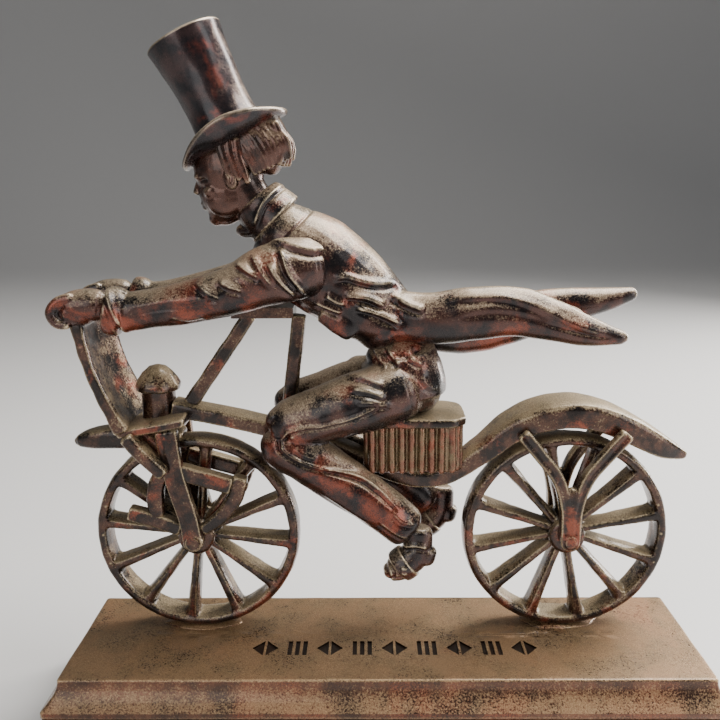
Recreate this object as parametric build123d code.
"""Still coin bank: a top-hatted rider on a two-wheeled running machine, on a hollow cast plinth.

Frame: +Z up, the rider travels towards -X, the plinth's front faces -Y. The origin is the
middle of the plinth's footprint, on the surface it stands on. All sizes are millimetres.
"""
from build123d import *
import os
from math import cos, hypot, pi, radians, sin

os.makedirs("parts", exist_ok=True)

# --- plinth ---------------------------------------------------------------------------
deck_length = 200.0          # flat top of the plinth, along X
deck_depth = 48.6            # flat top of the plinth, along Y
plinth_height = 25.0
cove_drop = 8.6              # height of the hollow moulding under the deck's edge
cove_reach = 4.2             # how far that moulding spreads beyond the deck
cove_hollow = 1.2            # how far its middle falls inside the straight line
land_height = 1.5            # upright band under the moulding
groove_height = 1.2
groove_deep = 0.8
wall = 2.6
screw_boss_radius = 3.5
screw_inset = 9.0            # boss centres, in from the deck's ends and sides

# --- coin slot and underside ----------------------------------------------------------
slot_length = 34.0
slot_height = 4.6
slot_middle_z = 9.0
plate_thick = 2.0
plate_recess = 2.0           # the underside plate sits this far above the foot
plate_gap = 0.2
screw_radius = 1.5
screw_head_radius = 2.75
screw_head_height = 1.5
screw_length = 9.0
hole_clearance = 0.2

# --- coin trap ------------------------------------------------------------------------
trap_length = 46.0
trap_depth = 32.0
trap_gap = 0.4
knuckle_radius = 1.5
hinge_pin_radius = 0.65
running_gap = 0.05           # radial clearance of the hinge pin and the lock barrel
knuckle_half = 20.0          # outer ends of the hinge knuckles
door_knuckle_half = 11.7
knuckle_gap = 0.3
hinge_side_gap = 0.4
lock_radius = 3.5
lock_flange_radius = 4.75
lock_flange_thick = 0.9
lock_edge_distance = 4.6     # lock axis to the door's free edge
cam_thick = 1.2
cam_reach = 8.6
cam_width = 5.6
cam_square = 4.0
cam_lift = 0.3
nut_across_flats = 5.5
nut_thick = 2.2

# --- wheels ---------------------------------------------------------------------------
machine_y = 9.0              # the machine and rider stand behind the plinth's middle line
wheel_radius = 33.4
wheel_width = 9.6
rim_thick = 2.6
wheel_lift = 0.4             # rim above the deck, filled by the foot pad
front_rim_x = -27.9          # rearmost point of the front wheel
rear_rim_x = 25.8            # foremost point of the rear wheel
spoke_count = 12
spoke_root = 2.6
spoke_tip = 3.6
spoke_depth_root = 7.4
spoke_depth_tip = 8.6
front_spoke_turn = 7.0
rear_spoke_turn = 19.0
hub_radius = 6.0
hub_length = 15.2
axle_radius = 1.85
axle_proud = 0.8
pad_length = 28.0
pad_width = 12.4
pad_height = 1.3
stud_radius = 1.5
stud_in_rim = 1.8

# --- frame of the machine -------------------------------------------------------------
blade_thick = 3.2
blade_gap = 0.2
blade_end_radius = 2.9
wheel_gap = 0.5              # air between a wheel and the frame round it
crown_length = 20.0
crown_thick = 2.4
crown_slope = 9.0
head_radius = 5.4
head_height = 10.0
cap_radius = 7.2
cap_height = 7.6
king_pin_radius = 2.0
beam_width = 9.2
guard_width = 2 * (hub_length / 2 + 0.8)   # wide enough to meet the rear stays
stay_square = 4.6
grip_radius = 2.4
steering_proud = 4.0         # the steering plate is this much wider than the fork, each side
board_x0 = -47.0             # arm board, front and back
board_x1 = -28.0
board_thick = 3.2

# --- saddle ---------------------------------------------------------------------------
saddle_x0 = -7.0
saddle_x1 = 25.5
saddle_half = 11.6           # half width across the machine
saddle_thick = 2.6
skirt_inset = 1.4
skirt_height = 14.6
pleat_pitch = 3.1
pleat_deep = 0.9

# --- rider ----------------------------------------------------------------------------
shoulder_half = 10.4         # shoulder joint, either side of the middle plane
hip_half = 8.5
knee_half = 11.4
ankle_half = 11.0
hand_half = 12.6
hat_tilt = 26.0
brim_x = -44.8
head_ahead = 4.4             # middle of the head, ahead of the middle of the brim
head_tilt = 12.0             # the face is bowed less than the hat leans
crown_base_radius = 10.6
crown_waist_radius = 9.5
crown_top_radius = 11.5
crown_height = 31.4
brim_length = 35.0
brim_width = 28.0
brim_thick = 2.6

# --- levels and places that follow from the sizes above --------------------------------
deck_z = plinth_height
axle_z = deck_z + wheel_lift + wheel_radius
wheel_top = axle_z + wheel_radius
front_x = front_rim_x - wheel_radius
rear_x = rear_rim_x + wheel_radius
near_y = -1.0
far_y = 1.0
foot_length = deck_length + 2 * cove_reach
foot_depth = deck_depth + 2 * cove_reach
cove_z = plinth_height - cove_drop
land_z = cove_z - land_height
groove_z = land_z - groove_height
ceiling_z = plinth_height - wall
saddle_z = wheel_top + 7.6           # top of the saddle
blade_in = hub_length / 2 + blade_gap
blade_out = blade_in + blade_thick
board_z = wheel_top + 38.6
brim_z = saddle_z + 84.8
head_x = brim_x - head_ahead


def save(name, shape):
    """Write one sub-part as parts/NAME.step."""
    export_step(shape, f"parts/{name}.step")


def block(x0, x1, y0, y1, z0, z1):
    """A box between two corners."""
    return Pos((x0 + x1) / 2, (y0 + y1) / 2, (z0 + z1) / 2) * Box(x1 - x0, y1 - y0, z1 - z0)


def post(x, y, z0, z1, radius):
    """An upright round post."""
    return Pos(x, y, (z0 + z1) / 2) * Cylinder(radius, z1 - z0)


def cross_pin(x, z, y0, y1, radius):
    """A round pin that lies across the machine, along Y."""
    return Pos(x, (y0 + y1) / 2, z) * Rot(90, 0, 0) * Cylinder(radius, y1 - y0)


def largest(shape):
    """The main solid of a cut shape."""
    return max(shape.solids(), key=lambda solid: solid.volume)


def smooth_line(points):
    """A spline through three or more points, or a line through two."""
    return Spline(*points) if len(points) > 2 else Line(*points)


def bar(stations, y0, y1):
    """A flat bar cut to a side outline: stations are (x, z, width) along its middle line."""
    upper, lower = [], []
    last = len(stations) - 1
    for i, (x, z, width) in enumerate(stations):
        xa, za, _ = stations[max(i - 1, 0)]
        xb, zb, _ = stations[min(i + 1, last)]
        run = hypot(xb - xa, zb - za)
        nx, nz = -(zb - za) / run, (xb - xa) / run
        upper.append(Vector(x + nx * width / 2, y0, z + nz * width / 2))
        lower.append(Vector(x - nx * width / 2, y0, z - nz * width / 2))
    edges = [smooth_line(upper), Line(upper[-1], lower[-1])]
    edges += [smooth_line(lower[::-1]), Line(lower[0], upper[0])]
    return Part() + Solid.extrude(Face(Wire(edges)), Vector(0, y1 - y0, 0))


def limb(stations):
    """A rounded solid through ovals (x, y, z, half_width, half_height) along a line."""
    rings = []
    last = len(stations) - 1
    for i, (x, y, z, half_width, half_height) in enumerate(stations):
        before = Vector(*stations[max(i - 1, 0)][:3])
        after = Vector(*stations[min(i + 1, last)][:3])
        along = (after - before).normalized()
        across = (Vector(0, 1, 0) - along * along.Y).normalized()
        up = along.cross(across)
        centre = Vector(x, y, z)
        ring = []
        for k in range(10):
            turn = 2 * pi * k / 10
            ring.append(centre + across * (half_width * cos(turn)) + up * (half_height * sin(turn)))
        rings.append(Wire([Spline(*ring, periodic=True)]))
    return Part() + Solid.make_loft(rings)


def on_both_sides(name, make):
    """Save the near and the far piece of a pair; make(side) takes -1 for near, +1 for far."""
    save(name + "_near", make(near_y))
    save(name + "_far", make(far_y))


def side_band(side, inner, outer):
    """The Y range between two distances from the middle plane, on one side."""
    ends = sorted((machine_y + side * inner, machine_y + side * outer))
    return ends[0], ends[1]


# --- plinth ---------------------------------------------------------------------------
def screw_places():
    """Centres of the four screws that hold the underside plate."""
    x = deck_length / 2 - screw_inset
    y = deck_depth / 2 - screw_inset
    return [(sx * x, sy * y) for sx in (-1, 1) for sy in (-1, 1)]


def make_plinth():
    """Hollow cast plinth: deck, cove moulding, band, shadow groove and foot."""
    body = block(-foot_length / 2, foot_length / 2, -foot_depth / 2, foot_depth / 2, 0, groove_z)
    neck_x = foot_length / 2 - groove_deep
    neck_y = foot_depth / 2 - groove_deep
    body += block(-neck_x, neck_x, -neck_y, neck_y, groove_z, land_z)
    body += block(-foot_length / 2, foot_length / 2, -foot_depth / 2, foot_depth / 2, land_z, cove_z)
    middle_out = cove_reach / 2 - cove_hollow
    steps = [(cove_z, cove_reach), (cove_z + cove_drop / 2, middle_out), (plinth_height, 0)]
    outlines = []
    for z, out in steps:
        sketch = Rectangle(deck_length + 2 * out, deck_depth + 2 * out)
        outlines.append(Pos(0, 0, z) * sketch)
    body += loft(outlines, ruled=True)
    low_x = foot_length / 2 - wall
    low_y = foot_depth / 2 - wall
    body -= block(-low_x, low_x, -low_y, low_y, 0, land_z)
    high_x = deck_length / 2 - wall
    high_y = deck_depth / 2 - wall
    body -= block(-high_x, high_x, -high_y, high_y, land_z, ceiling_z)
    for x, y in screw_places():
        body += post(x, y, plate_recess + plate_thick, ceiling_z, screw_boss_radius)
    for x, y in screw_places():
        body -= post(x, y, 0, plate_recess + screw_length + 0.5, screw_radius)
    slot_z0 = slot_middle_z - slot_height / 2
    slot_z1 = slot_middle_z + slot_height / 2
    body -= block(-slot_length / 2, slot_length / 2, low_y - 1, foot_depth, slot_z0, slot_z1)
    for x in (front_x, rear_x):
        body -= post(x, machine_y, ceiling_z - 1, plinth_height + 1, stud_radius)
    return body


hinge_y = trap_depth / 2 + knuckle_radius + hinge_side_gap
hinge_z = plate_recess - 0.1
opening_y1 = hinge_y + knuckle_radius + hinge_side_gap
plate_top = plate_recess + plate_thick


def knuckle(x0, x1, towards):
    """One hinge knuckle with the web that joins it to a plate edge on the Y side given."""
    roll = Pos((x0 + x1) / 2, hinge_y, hinge_z) * Rot(0, 90, 0) * Cylinder(knuckle_radius, x1 - x0)
    edge = hinge_y + towards * (knuckle_radius + hinge_side_gap + 0.3)
    low, high = sorted((hinge_y, edge))
    return roll + block(x0, x1, low, high, plate_recess, hinge_z + knuckle_radius - 0.1)


def hinge_rod(x0, x1, radius):
    """A round rod on the trap's hinge line."""
    return Pos((x0 + x1) / 2, hinge_y, hinge_z) * Rot(0, 90, 0) * Cylinder(radius, x1 - x0)


def make_bottom_plate():
    """Underside plate with the coin-trap opening, its hinge knuckles and four screw holes."""
    half_x = foot_length / 2 - wall - plate_gap
    half_y = foot_depth / 2 - wall - plate_gap
    plate = block(-half_x, half_x, -half_y, half_y, plate_recess, plate_top)
    plate -= block(-trap_length / 2, trap_length / 2, -trap_depth / 2, opening_y1, 0, plate_top + 1)
    for x, y in screw_places():
        plate -= post(x, y, 0, plate_top + 1, screw_radius + hole_clearance)
    inner = door_knuckle_half + knuckle_gap
    for x0, x1 in ((-knuckle_half, -inner), (inner, knuckle_half)):
        plate += knuckle(x0, x1, 1)
    return plate - hinge_rod(-knuckle_half - 1, knuckle_half + 1, hinge_pin_radius)


lock_y = -trap_depth / 2 + trap_gap + lock_edge_distance


def make_trap_door():
    """Coin-trap door with its middle knuckle and the bore for the lock."""
    half_x = trap_length / 2 - trap_gap
    door = block(-half_x, half_x, -trap_depth / 2 + trap_gap, trap_depth / 2, plate_recess, plate_top)
    door += knuckle(-door_knuckle_half, door_knuckle_half, -1)
    door -= hinge_rod(-knuckle_half, knuckle_half, hinge_pin_radius + running_gap)
    return door - post(0, lock_y, 0, plate_top + 1, lock_radius + running_gap)


def make_lock_barrel():
    """Lock barrel: flange with a key slot, round shank, square for the cam, threaded end."""
    flange_top = plate_recess - running_gap
    shoulder = plate_top + cam_lift
    square_top = shoulder + cam_thick
    barrel = post(0, lock_y, flange_top - lock_flange_thick, flange_top, lock_flange_radius)
    barrel += post(0, lock_y, flange_top, shoulder, lock_radius)
    half = cam_square / 2
    barrel += block(-half, half, lock_y - half, lock_y + half, shoulder, square_top)
    barrel += post(0, lock_y, square_top, square_top + nut_thick + 0.6, screw_radius)
    keyway_half, keyway_reach, keyway_deep = 0.6, 2.4, 2.0
    low = flange_top - lock_flange_thick
    return barrel - block(-keyway_half, keyway_half, lock_y - keyway_reach, lock_y + keyway_reach,
                          low, low + keyway_deep)


def make_lock_cam():
    """Flat locking arm, turned clear of the plate's edge as the bank stands."""
    low = plate_top + cam_lift
    arm = post(0, lock_y, low, low + cam_thick, cam_width / 2 + 0.6)
    arm += block(0, cam_reach, lock_y - cam_width / 2, lock_y + cam_width / 2, low, low + cam_thick)
    half = cam_square / 2
    return arm - block(-half, half, lock_y - half, lock_y + half, low - 1, low + cam_thick + 1)


def hex_nut(x, y, z0, z1, bore):
    """A hexagon nut standing on z0."""
    blank = extrude(Pos(x, y, z0) * RegularPolygon(nut_across_flats / 2, 6, major_radius=False), z1 - z0)
    return blank - post(x, y, z0 - 1, z1 + 1, bore)


def make_plate_screw(x, y):
    """Pan-head screw from below into a plinth boss."""
    head = post(x, y, plate_recess - screw_head_height, plate_recess, screw_head_radius)
    slot = block(x - 2, x + 2, y - 0.4, y + 0.4, 0, plate_recess - screw_head_height + 0.7)
    return head + post(x, y, plate_recess, plate_recess + screw_length, screw_radius) - slot


def make_underside():
    save("plinth", make_plinth())
    save("bottom_plate", make_bottom_plate())
    save("bottom_plate_screws", Compound(children=[make_plate_screw(x, y) for x, y in screw_places()]))
    save("trap_door", make_trap_door())
    save("trap_hinge_pin", hinge_rod(-knuckle_half, knuckle_half, hinge_pin_radius))
    save("lock_barrel", make_lock_barrel())
    save("lock_cam", make_lock_cam())
    nut_z = plate_top + cam_lift + cam_thick
    save("lock_nut", hex_nut(0, lock_y, nut_z, nut_z + nut_thick, screw_radius))


# --- wheels ---------------------------------------------------------------------------
def make_spoke(angle):
    """One tapering spoke with a ridge along each open edge, before it is placed."""
    sections = []
    for reach, thick, deep in ((hub_radius - 1, spoke_root, spoke_depth_root),
                               (wheel_radius - rim_thick + 0.6, spoke_tip, spoke_depth_tip)):
        half, shoulder, ridge = thick / 2, deep / 2 - thick / 2, deep / 2
        corners = [(half, shoulder), (0, ridge), (-half, shoulder), (-half, -shoulder), (0, -ridge),
                   (half, -shoulder)]
        wire = Wire.make_polygon([Vector(a, b, reach) for a, b in corners], close=True)
        sections.append(wire)
    return Rot(0, angle, 0) * (Part() + Solid.make_loft(sections, ruled=True))


def make_wheel(x, turn):
    """Cast wheel: rim, twelve deep spokes and a long hub."""
    rim = Cylinder(wheel_radius, wheel_width) - Cylinder(wheel_radius - rim_thick, wheel_width + 1)
    hub = Cylinder(hub_radius, hub_length)
    wheel = Rot(90, 0, 0) * (rim + hub)
    for k in range(spoke_count):
        wheel += make_spoke(turn + 360 * k / spoke_count)
    wheel = Pos(x, machine_y, axle_z) * wheel
    wheel -= cross_pin(x, axle_z, machine_y - hub_length, machine_y + hub_length, axle_radius)
    return wheel - post(x, machine_y, deck_z, deck_z + wheel_lift + stud_in_rim, stud_radius)


def make_pad(x):
    """Low cast foot that fills the gap between a rim and the deck."""
    pad = extrude(Pos(x, machine_y, deck_z) * Ellipse(pad_length / 2, pad_width / 2), pad_height, taper=30)
    pad -= cross_pin(x, axle_z, machine_y - wheel_width, machine_y + wheel_width, wheel_radius)
    return pad - post(x, machine_y, deck_z - 1, deck_z + 3, stud_radius)


def make_stud(x):
    """Threaded stud from the rim down through pad and deck."""
    return post(x, machine_y, ceiling_z - nut_thick - 1.2, deck_z + wheel_lift + stud_in_rim, stud_radius)


def make_running_gear():
    save("front_wheel", make_wheel(front_x, front_spoke_turn))
    save("rear_wheel", make_wheel(rear_x, rear_spoke_turn))
    save("front_wheel_pad", make_pad(front_x))
    save("rear_wheel_pad", make_pad(rear_x))
    save("hold_down_studs", Compound(children=[make_stud(x) for x in (front_x, rear_x)]))
    nuts = [hex_nut(x, machine_y, ceiling_z - nut_thick, ceiling_z, stud_radius) for x in (front_x, rear_x)]
    save("hold_down_nuts", Compound(children=nuts))
    for name, x in (("front_axle", front_x), ("rear_axle", rear_x)):
        y0 = machine_y - blade_out - axle_proud
        y1 = machine_y + blade_out + axle_proud
        save(name, cross_pin(x, axle_z, y0, y1, axle_radius))


# --- frame ----------------------------------------------------------------------------
crown_x = front_x - 11.0             # middle of the fork crown and head tube
crown_z = wheel_top + 5.4            # middle of the crown plate
grip_x = front_x - 30.2
grip_z = wheel_top + 42.6


def make_crown():
    """Sloping plate that carries the head tube and the fork blades."""
    half = blade_out + 0.8
    plate = Box(crown_length, 2 * half, crown_thick)
    return Pos(crown_x, machine_y, crown_z) * Rot(0, -crown_slope, 0) * plate


def crown_zone(extra=0.0):
    """The crown plate again, as a cutter with its thickness grown by extra."""
    half = blade_out + 3
    plate = Box(crown_length, 2 * half, crown_thick + extra)
    return Pos(crown_x, machine_y, crown_z) * Rot(0, -crown_slope, 0) * plate


def make_blade(side):
    """Fork blade from the crown plate to the axle."""
    y0, y1 = side_band(side, blade_in, blade_out)
    blade = bar([(crown_x + 3.6, crown_z, 6.4), (front_x - 5.4, wheel_top - 9.4, 6.2),
                 (front_x - 2.2, axle_z + 14, 5.8), (front_x, axle_z, 2 * blade_end_radius)], y0, y1)
    blade += cross_pin(front_x, axle_z, y0, y1, blade_end_radius)
    blade -= crown_zone()
    blade = largest(blade)
    return blade - cross_pin(front_x, axle_z, y0 - 1, y1 + 1, axle_radius)


def steering_line():
    """Side line of the steering plate from the grip to the front of the crown plate."""
    return [(grip_x + 0.4, grip_z - 3.0, 4.2), (grip_x + 1.6, grip_z - 13.0, 3.0),
            (grip_x + 5.0, grip_z - 25.0, 3.2), (crown_x - 8.6, crown_z - 0.6, 4.6)]


def make_steering_plate():
    """Broad thin plate from the handlebar down to the front of the crown plate."""
    half = blade_out + steering_proud
    plate = bar(steering_line(), machine_y - half, machine_y + half)
    plate += cross_pin(grip_x, grip_z - 0.6, machine_y - half, machine_y + half, grip_radius + 1.4)
    plate -= crown_zone()
    return largest(plate) - cross_pin(grip_x, grip_z, machine_y - half - 1, machine_y + half + 1, grip_radius)


def make_steering_strut(side, blade, plate):
    """Lower run of the steering plate on one side, from the crown plate to the fork blade."""
    y0, y1 = side_band(side, blade_in, blade_out + steering_proud)
    strut = bar([(crown_x - 8.6, crown_z - 0.6, 4.6), (crown_x - 3.4, crown_z - 8.0, 4.6),
                 (front_x - 6.6, wheel_top - 9.8, 4.4)], y0, y1)
    strut -= crown_zone()
    lower = min(strut.solids(), key=lambda solid: solid.center().Z)
    return largest(lower - blade - plate)


def make_prow():
    """Tongue that runs forward under the crown plate to a blunt point."""
    half = 4.0
    prow = bar([(crown_x + 8.0, crown_z - 6.6, 6.6), (crown_x - 8.0, crown_z - 6.2, 7.4),
                (crown_x - 20.0, crown_z - 6.4, 6.0), (crown_x - 28.4, crown_z - 8.0, 2.2)],
               machine_y - half, machine_y + half)
    prow -= cross_pin(front_x, axle_z, machine_y - 20, machine_y + 20, wheel_radius + wheel_gap)
    return largest(prow - crown_zone())


def hub_zone():
    """Space that the front hub fills, as a cutter."""
    reach = hub_length / 2
    return cross_pin(front_x, axle_z, machine_y - reach, machine_y + reach, hub_radius + 0.4)


def make_front_brace(side):
    """Forward pair of struts low on the fork: an upright and the bar that it stands on."""
    y0, y1 = side_band(side, blade_in - 1.6, blade_out - 0.6)
    brace = bar([(front_x - 20.4, axle_z + 10.0, 4.2), (front_x - 12, axle_z + 7.0, 4.4),
                 (front_x - 3.4, axle_z + 3.6, 4.2)], y0, y1)
    brace += bar([(front_x - 8.0, wheel_top - 8.4, 4.6), (front_x - 11.6, axle_z + 17.5, 5.2),
                  (front_x - 11.4, axle_z + 7.5, 4.4)], y0, y1)
    return brace - hub_zone()


def make_rear_brace(side):
    """Rear pair of struts on the fork: an upper bar and the curved arm under its end."""
    y0, y1 = side_band(side, blade_in - 1.6, blade_out - 0.6)
    brace = bar([(front_x - 3.2, axle_z + 24.0, 5.0), (front_x + 5.0, axle_z + 21.4, 5.0),
                 (front_x + 13.2, axle_z + 18.4, 5.0)], y0, y1)
    brace += bar([(front_x + 14.8, axle_z + 21.6, 4.8), (front_x + 13.0, axle_z + 13.6, 5.0),
                  (front_x + 8.4, axle_z + 7.6, 4.4), (front_x + 2.0, axle_z + 3.2, 3.6)], y0, y1)
    return brace - hub_zone()


def make_head_tube():
    """Round housing on the crown plate for the king pin."""
    tube = post(crown_x, machine_y, crown_z - 4, crown_z + head_height, head_radius)
    tube -= crown_zone()
    tube = max(tube.solids(), key=lambda solid: solid.center().Z)
    return tube - post(crown_x, machine_y, crown_z - 6, crown_z + 40, king_pin_radius)


def make_head_cap():
    """Eight-sided domed cap over the head tube."""
    low = crown_z + head_height
    cap = extrude(Pos(crown_x, machine_y, low) * RegularPolygon(cap_radius, 8), 1.6)
    upper = [Pos(crown_x, machine_y, low + 1.6) * RegularPolygon(cap_radius, 8),
             Pos(crown_x, machine_y, low + 4.6) * RegularPolygon(cap_radius * 0.82, 8),
             Pos(crown_x, machine_y, low + cap_height) * RegularPolygon(cap_radius * 0.4, 8)]
    cap += loft(upper, ruled=True)
    return cap - post(crown_x, machine_y, low - 1, low + 3, king_pin_radius)


def make_king_pin():
    """Steering pin through the crown plate, head tube and cap."""
    return post(crown_x, machine_y, crown_z - 3.0, crown_z + head_height + 3, king_pin_radius)


def beam_line():
    """Side line of the backbone: x, z and height at each station."""
    return [(crown_x + head_radius - 0.6, crown_z + 4.2, 5.2), (front_x + 21, wheel_top + 3.4, 4.8),
            (front_x + 44, wheel_top - 3.6, 4.8), (-2, wheel_top - 11.4, 5.0),
            (12, wheel_top - 14.2, 5.2), (rear_x - 34, wheel_top - 11.6, 5.4),
            (rear_x - 21, wheel_top - 1.4, 6.4), (rear_x - 8, wheel_top + 6.4, 7.6),
            (rear_x + 6, wheel_top + 7.2, 8.2), (rear_x + 20, wheel_top + 2.2, 8.0),
            (rear_x + 31, wheel_top - 3.6, 5.0), (rear_x + 38.4, wheel_top - 8.0, 1.6)]


def make_backbone():
    """Main beam: a flat bar behind the head, broadening into the guard over the rear wheel."""
    side = bar(beam_line(), -60, 60)
    plan = [(crown_x, beam_width / 2), (-10, beam_width / 2), (rear_x - 34, beam_width / 2 + 0.6),
            (rear_x - 14, guard_width / 2), (rear_x + 12, guard_width / 2),
            (rear_x + 28, guard_width / 3), (rear_x + 40, 0.9)]
    left = [Vector(x, machine_y - half, 0) for x, half in plan]
    right = [Vector(x, machine_y + half, 0) for x, half in reversed(plan)]
    outline = Wire([smooth_line(left), Line(left[-1], right[0]), smooth_line(right), Line(right[-1], left[0])])
    above = Part() + Solid.extrude(Face(outline), Vector(0, 0, wheel_top + 60))
    beam = side & above
    beam -= post(crown_x, machine_y, crown_z - 10, crown_z + 30, head_radius)
    beam -= crown_zone()
    beam = largest(beam)
    beam -= cross_pin(rear_x, axle_z, machine_y - 20, machine_y + 20, wheel_radius + wheel_gap)
    return largest(beam)


def make_rear_stay(side, backbone):
    """Two curved legs from the guard that join and run down to the rear axle."""
    y0, y1 = side_band(side, blade_in, blade_out)
    stay = bar([(rear_x - 14.6, wheel_top + 3.0, 4.0), (rear_x - 8.4, wheel_top - 5.4, 4.0),
                (rear_x - 3.4, axle_z + 20, 3.6), (rear_x - 1.4, axle_z, 3.0)], y0, y1)
    stay += bar([(rear_x + 16.6, wheel_top + 1.6, 4.0), (rear_x + 8.6, wheel_top - 6.0, 4.2),
                 (rear_x + 3.2, axle_z + 20, 3.8), (rear_x + 1.4, axle_z, 3.0)], y0, y1)
    stay += bar([(rear_x, axle_z + 20, 4.6), (rear_x, axle_z, 5.4)], y0, y1)
    stay += cross_pin(rear_x, axle_z, y0, y1, blade_end_radius)
    stay -= backbone
    stay = largest(stay)
    return stay - cross_pin(rear_x, axle_z, y0 - 1, y1 + 1, axle_radius)


def make_front_board_stay(backbone):
    """Sloping stay from the backbone to the front of the arm board."""
    stay = bar([(crown_x + 10.6, crown_z + 4, stay_square), (board_x0 + 5, board_z + 1, stay_square)],
               machine_y - stay_square / 2, machine_y + stay_square / 2)
    stay -= backbone
    stay -= block(board_x0 - 30, board_x1 + 30, -60, 60, board_z, board_z + 40)
    return largest(stay)


def make_rear_board_stay(backbone):
    """Steeper stay from the backbone to the back of the arm board."""
    stay = bar([(front_x + 30, wheel_top - 2, stay_square), (board_x1 - 2.6, board_z + 1, stay_square)],
               machine_y - stay_square / 2, machine_y + stay_square / 2)
    stay -= backbone
    stay -= block(board_x0 - 30, board_x1 + 30, -60, 60, board_z, board_z + 40)
    return largest(stay)


def make_arm_board():
    """Padded board that the rider's forearms lean over, hidden between the sleeves."""
    return block(board_x0, board_x1, machine_y - 6, machine_y + 6, board_z, board_z + board_thick)


def make_frame():
    save("fork_crown", make_crown() - post(crown_x, machine_y, 0, 300, king_pin_radius))
    on_both_sides("fork_blade", make_blade)
    plate = make_steering_plate()
    save("steering_plate", plate)
    save("fork_prow", make_prow() - post(crown_x, machine_y, 0, 300, king_pin_radius))
    for side, word in ((near_y, "near"), (far_y, "far")):
        blade = make_blade(side)
        strut = make_steering_strut(side, blade, plate)
        save("steering_strut_" + word, strut)
        save("fork_front_brace_" + word, largest(make_front_brace(side) - blade - strut))
        save("fork_rear_brace_" + word, largest(make_rear_brace(side) - blade))
    save("head_tube", make_head_tube())
    save("head_cap", make_head_cap())
    save("king_pin", make_king_pin())
    backbone = make_backbone()
    save("backbone", backbone)
    save("rear_stay_near", make_rear_stay(near_y, backbone))
    save("rear_stay_far", make_rear_stay(far_y, backbone))
    save("arm_board_front_stay", make_front_board_stay(backbone))
    save("arm_board_rear_stay", make_rear_board_stay(backbone))
    board = make_arm_board()
    save("arm_board", board)
    reach = hand_half + 3.0
    handlebar = cross_pin(grip_x, grip_z, machine_y - reach, machine_y + reach, grip_radius)
    save("handlebar", handlebar)
    return backbone, plate + handlebar, board


# --- saddle ---------------------------------------------------------------------------
def saddle_plan(inset, z):
    """Saddle outline at height z: square in front, chamfered at the back."""
    x0, x1, half = saddle_x0 + inset, saddle_x1 - inset, saddle_half - inset
    nose = 4.0
    corners = [(x0, -half), (x1 - nose, -half), (x1, -half + nose), (x1, half - nose), (x1 - nose, half),
               (x0, half)]
    wire = Wire.make_polygon([Vector(x, machine_y + y, z) for x, y in corners], close=True)
    return Face(wire)


def make_saddle_top():
    """Flat seat board."""
    return Part() + Solid.extrude(saddle_plan(0, saddle_z - saddle_thick), Vector(0, 0, saddle_thick))


def make_saddle_skirt(backbone):
    """Pleated valance under the seat board, notched over the backbone."""
    top = saddle_z - saddle_thick
    skirt = Part() + Solid.extrude(saddle_plan(skirt_inset, top - skirt_height), Vector(0, 0, skirt_height))
    half = saddle_half - skirt_inset
    count = int((saddle_x1 - saddle_x0 - 2 * skirt_inset - 5) / pleat_pitch)
    for k in range(count):
        x = saddle_x0 + skirt_inset + (k + 0.75) * pleat_pitch
        for side in (near_y, far_y):
            y = machine_y + side * half
            groove = Pos(x, y, top - skirt_height / 2) * Rot(0, 0, 45)
            skirt -= groove * Box(pleat_deep * 1.4, pleat_deep * 1.4, skirt_height + 1)
    return largest(skirt - backbone)


def saddle_zone():
    """Space that the saddle fills, as a cutter."""
    whole = Solid.extrude(saddle_plan(0, saddle_z - saddle_thick - skirt_height - 2),
                          Vector(0, 0, saddle_thick + skirt_height + 2))
    return Part() + whole


# --- rider ----------------------------------------------------------------------------
def side_y(side, half):
    """Y of a point on the rider, half to one side of the middle plane."""
    return machine_y + side * half


def make_seat():
    """Seat of the trousers, from the saddle to the waist."""
    z = saddle_z
    seat = limb([(7.0, machine_y, z - 1, 11.0, 11.0), (6.4, machine_y, z + 8, 12.4, 12.8),
                 (5.2, machine_y, z + 16, 11.8, 12.6), (3.6, machine_y, z + 24, 10.6, 11.0)])
    return largest(seat - saddle_zone())


def make_leg(side, seat, backbone):
    """One trouser leg, bent at the knee, with its inner side cut where it grips the backbone."""
    knee = (-32.4, side_y(side, knee_half), saddle_z - 4.4)
    drop = 0.0 if side < 0 else 8.0
    leg = limb([(9.0, side_y(side, hip_half - 2), saddle_z + 8.5, 8.0, 9.0),
                (-6.0, side_y(side, hip_half + 2), saddle_z + 5.4, 9.0, 9.2),
                (-20.0, side_y(side, knee_half - 1), saddle_z + 1.4, 8.4, 8.6), (*knee, 7.2, 7.6)])
    leg += Pos(*knee) * Sphere(7.6)
    leg += limb([(-31.5, knee[1], saddle_z - 6.6, 7.0, 7.2),
                 (-16 + drop / 2, knee[1], saddle_z - 18.5, 6.4, 7.0),
                 (-2 + drop, side_y(side, ankle_half + 0.5), saddle_z - 28.6, 6.0, 6.4),
                 (9 + drop, side_y(side, ankle_half), saddle_z - 37.4, 5.4, 6.4)])
    leg -= saddle_zone()
    leg = largest(leg) - seat
    return largest(leg - backbone)


def make_shoe(side):
    """Low shoe that hangs toe down from the trouser end."""
    shift_x, shift_z = (0.0, 0.0) if side < 0 else (9.0, 5.0)
    x, y, z = 9.0 + shift_x, side_y(side, ankle_half), saddle_z - 38.0 + shift_z
    shoe = limb([(x + 1.6, y, z - 5.2, 3.2, 4.2), (x - 1.6, y, z - 9.6, 4.4, 4.6),
                 (x - 6.0, y, z - 12.2, 4.4, 3.6), (x - 10.0, y, z - 13.0, 2.6, 1.8)])
    return shoe + limb([(x + 0.4, y, z + 3, 3.4, 3.8), (x + 0.2, y, z - 8, 3.4, 4.0)])


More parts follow.
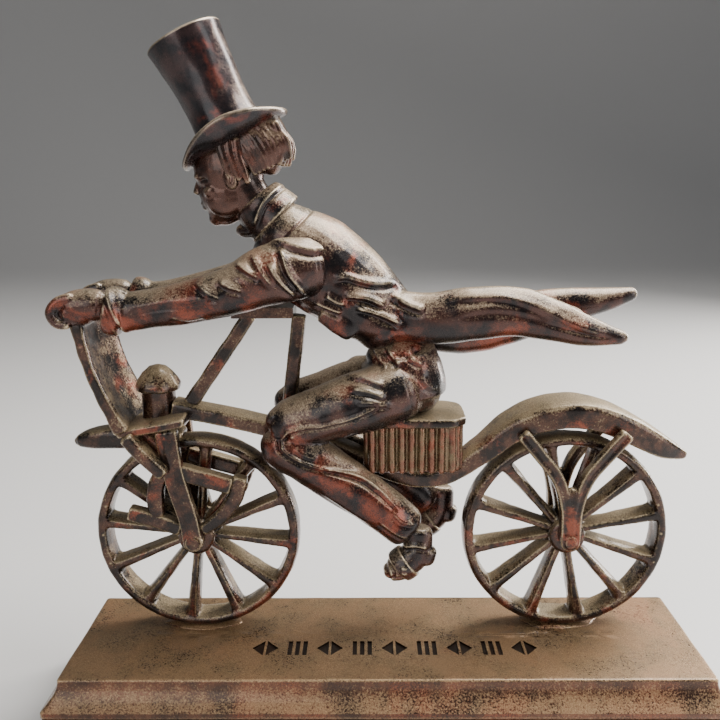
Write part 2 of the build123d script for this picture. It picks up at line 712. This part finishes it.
def make_shoe_strap(side, shoe, leg):
    """Strap round the instep of a shoe."""
    shift_x, shift_z = (0.0, 0.0) if side < 0 else (9.0, 5.0)
    x, y, z = 9.0 + shift_x, side_y(side, ankle_half), saddle_z - 38.0 + shift_z
    strap = limb([(x - 4.0, y, z - 10.8, 5.2, 4.9), (x - 1.4, y, z - 9.0, 5.4, 5.3)])
    return largest(strap - shoe - leg)


def make_torso():
    """Body of the tail coat, leaning forward from waist to neck."""
    z = saddle_z
    return limb([(-37.5, machine_y, z + 62.0, 5.5, 6.5), (-32.0, machine_y, z + 56.5, 11.5, 10.0),
                 (-22.5, machine_y, z + 48.6, 14.5, 14.6), (-10.0, machine_y, z + 39.4, 13.0, 13.2),
                 (-1.0, machine_y, z + 31.4, 11.4, 11.0), (3.4, machine_y, z + 24.0, 11.6, 11.4)])


def make_near_tail():
    """Coat tail on the near side, blown out behind."""
    z = saddle_z
    return bar([(8, z + 28, 13), (25, z + 30.6, 14.6), (41, z + 33, 13.5), (55, z + 30.6, 11),
                (67, z + 27, 6.6), (75.4, z + 26, 3)], machine_y - 14, machine_y - 1)


def make_far_tail():
    """Coat tail on the far side, blown a little higher."""
    z = saddle_z
    return bar([(8, z + 26, 12), (28, z + 24.6, 13), (45, z + 28, 13), (60, z + 31.6, 11),
                (74, z + 34, 7.6), (82.6, z + 36.6, 3.4)], machine_y + 1, machine_y + 14)


def make_sleeve(side):
    """Sleeve from the shoulder to the cuff at the wrist."""
    z = saddle_z
    return limb([(-20.0, side_y(side, shoulder_half - 2.5), z + 47.0, 7.6, 9.6),
                 (-31.0, side_y(side, shoulder_half + 1), z + 45.4, 8.0, 9.6),
                 (-45.0, side_y(side, hand_half), z + 41.2, 6.6, 7.6),
                 (grip_x + 31, side_y(side, hand_half), grip_z + 2.4, 5.8, 6.2),
                 (grip_x + 17, side_y(side, hand_half), grip_z + 0.4, 5.2, 5.4),
                 (grip_x + 9, side_y(side, hand_half), grip_z - 0.4, 5.6, 6.0)])


def make_hand(side):
    """Closed hand round the end of the handlebar."""
    y = side_y(side, hand_half)
    return limb([(grip_x + 12, y, grip_z + 0.2, 3.8, 4.0), (grip_x + 5, y, grip_z + 1.0, 4.6, 4.6),
                 (grip_x - 1, y, grip_z + 0.8, 5.0, 4.8), (grip_x - 6.4, y, grip_z + 0.2, 3.6, 3.2)])


def make_collar():
    """Standing collar round the neck."""
    z = saddle_z
    return limb([(-34.4, machine_y, z + 62.2, 9.0, 8.6), (-38.6, machine_y, z + 66.4, 8.0, 7.8)])


hat_lean = sin(radians(hat_tilt))
hat_rise = cos(radians(hat_tilt))


def on_hat_axis(distance):
    """X and Z at a distance above the brim along the tilted axis of hat and head."""
    return brim_x - hat_lean * distance, brim_z + hat_rise * distance


def make_head():
    """Head and neck: a plain egg, bowed forward, on a short neck."""
    rise, lean = cos(radians(head_tilt)), sin(radians(head_tilt))
    stations = []
    for distance, half_width, half_height in ((-24.5, 2.8, 3.2), (-21, 5.4, 6.8), (-15, 7.2, 9.4),
                                              (-8, 7.8, 10.2), (-1, 7.8, 10.0), (4, 6.4, 8.2)):
        x, z = head_x - lean * distance, brim_z + rise * distance
        stations.append((x, machine_y, z, half_width, half_height))
    z = saddle_z
    neck = limb([(-36.0, machine_y, z + 60, 5.6, 5.8), (-43.0, machine_y, z + 71, 5.8, 6.2)])
    return limb(stations) + neck


def make_hair():
    """Long straight hair under the brim, over the back of the head."""
    x, z = on_hat_axis(-6)
    return limb([(x + 3.0, machine_y, z + 4.6, 8.6, 9.4), (x + 7.4, machine_y, z - 0.4, 9.2, 10.0),
                 (x + 10.0, machine_y, z - 5.6, 8.6, 8.4), (x + 11.6, machine_y, z - 9.6, 7.0, 5.2)])


def make_hat_crown():
    """Tall hat crown that narrows in the middle and flares to its top."""
    outline = [Vector(0, 0, 0), Vector(crown_base_radius, 0, 0)]
    side = Spline(Vector(crown_base_radius, 0, 0), Vector(crown_waist_radius, 0, crown_height * 0.42),
                  Vector(crown_top_radius, 0, crown_height))
    top = [Vector(crown_top_radius, 0, crown_height), Vector(0, 0, crown_height + 0.8)]
    face = Face(Wire([Line(*outline), side, Line(*top), Line(top[1], outline[0])]))
    crown = Part() + Solid.revolve(face, 360, Axis.Z)
    return Pos(brim_x, machine_y, brim_z) * Rot(0, -hat_tilt, 0) * crown


def make_hat_brim():
    """Oval brim."""
    plate = extrude(Ellipse(brim_length / 2, brim_width / 2), brim_thick)
    return Pos(brim_x, machine_y, brim_z) * Rot(0, -hat_tilt, 0) * Pos(0, 0, -brim_thick / 2) * plate


def make_rider(backbone, steering, board):
    """All of the rider's pieces, each cut where its neighbour fills the space."""
    seat = make_seat()
    save("trousers_seat", seat)
    for side, word in ((near_y, "near"), (far_y, "far")):
        leg = make_leg(side, seat, backbone)
        save("trouser_leg_" + word, leg)
        shoe = largest(make_shoe(side) - leg)
        save("shoe_" + word, shoe)
        save("shoe_strap_" + word, make_shoe_strap(side, shoe, leg))
    torso = largest(make_torso() - seat - board)
    save("coat_body", torso)
    save("coat_tail_near", largest(make_near_tail() - torso - seat))
    save("coat_tail_far", largest(make_far_tail() - torso - seat))
    for side, word in ((near_y, "near"), (far_y, "far")):
        sleeve = largest(make_sleeve(side) - torso - board)
        save("sleeve_" + word, sleeve)
        save("hand_" + word, largest(make_hand(side) - sleeve - steering))
    collar = largest(make_collar() - torso)
    head = largest(make_head() - torso - collar)
    save("collar", collar)
    save("head", head)
    brim = largest(make_hat_brim() - head)
    save("hat_brim", brim)
    save("hair", largest(make_hair() - head - collar - torso - brim))
    save("hat_crown", largest(make_hat_crown() - brim - head))


def main():
    make_underside()
    make_running_gear()
    backbone, steering, board = make_frame()
    save("saddle_top", make_saddle_top())
    save("saddle_skirt", make_saddle_skirt(backbone))
    make_rider(backbone, steering, board)


main()
